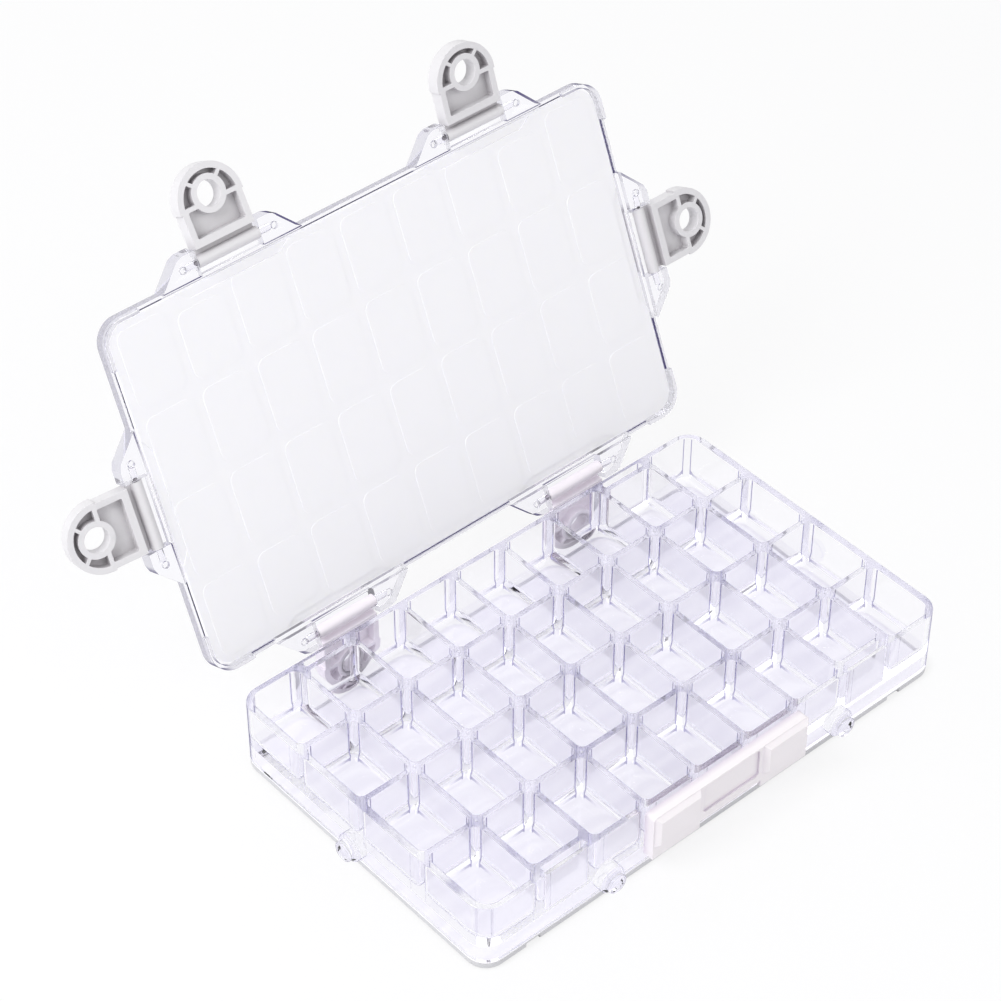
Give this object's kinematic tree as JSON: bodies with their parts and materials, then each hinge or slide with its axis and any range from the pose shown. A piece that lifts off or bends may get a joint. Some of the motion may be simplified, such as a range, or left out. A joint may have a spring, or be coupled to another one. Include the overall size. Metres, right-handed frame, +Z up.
{
  "type": "paint box",
  "caption": "Clear plastic watercolour paint box with a grid of wells, a hinged sealing lid and swinging latches that close over pegs on the tray.",
  "frame": {"origin": "centre of the tray's underside", "axes": "+Z up out of the wells, +X along the tray's long side to the right, the grip side faces -Y and the lid is hinged along +Y"},
  "size_m": [0.286, 0.2139, 0.1893],
  "materials": {
    "clear_plastic": "clear, glossy",
    "base_plastic": "satin",
    "frosted_plastic": "frosted",
    "silicone": "soft, milky",
    "latch_plastic": "satin"
  },
  "bodies": {
    "tray": {"tray_shell": "clear_plastic", "well_floor": "clear_plastic", "long_divider_1": "clear_plastic", "long_divider_2": "clear_plastic", "long_divider_3": "clear_plastic", "cross_divider_1": "clear_plastic", "cross_divider_2": "clear_plastic", "cross_divider_3": "clear_plastic", "cross_divider_4": "clear_plastic", "cross_divider_5": "clear_plastic", "cross_divider_6": "clear_plastic", "cross_divider_7": "clear_plastic", "cross_divider_8": "clear_plastic", "peg_front_left": "clear_plastic", "peg_front_right": "clear_plastic", "peg_back_left": "clear_plastic", "peg_back_right": "clear_plastic", "peg_left": "clear_plastic", "peg_right": "clear_plastic", "base_plate": "base_plastic", "front_grip": "frosted_plastic", "hinge_latch_left": "latch_plastic", "hinge_latch_right": "latch_plastic"},
    "lid": {"lid": "clear_plastic", "seal_liner": "silicone"},
    "latch_front_left": {"latch_front_left": "latch_plastic"},
    "latch_front_right": {"latch_front_right": "latch_plastic"},
    "latch_left": {"latch_left": "latch_plastic"},
    "latch_right": {"latch_right": "latch_plastic"}
  },
  "joints": [
    {"name": "lid_hinge", "type": "hinge", "parent": "tray", "child": "lid", "pos_m": [0, 0.0706, 0.0303], "axis": [1, 0, 0], "range_deg": [0, 113]},
    {"name": "front_left_latch_hinge", "type": "hinge", "parent": "lid", "child": "latch_front_left", "pos_m": [-0.0538, 0.12577, 0.16028], "axis": [1, 0, 0], "range_deg": [-15, 98]},
    {"name": "front_right_latch_hinge", "type": "hinge", "parent": "lid", "child": "latch_front_right", "pos_m": [0.0538, 0.12577, 0.16028], "axis": [1, 0, 0], "range_deg": [-27, 86]},
    {"name": "left_latch_hinge", "type": "hinge", "parent": "lid", "child": "latch_left", "pos_m": [-0.1132, 0.09819, 0.09529], "axis": [0, 0.3907, 0.9205], "range_deg": [-14, 99]},
    {"name": "right_latch_hinge", "type": "hinge", "parent": "lid", "child": "latch_right", "pos_m": [0.1132, 0.09819, 0.09529], "axis": [0, -0.3907, -0.9205], "range_deg": [-24, 89]}
  ]
}
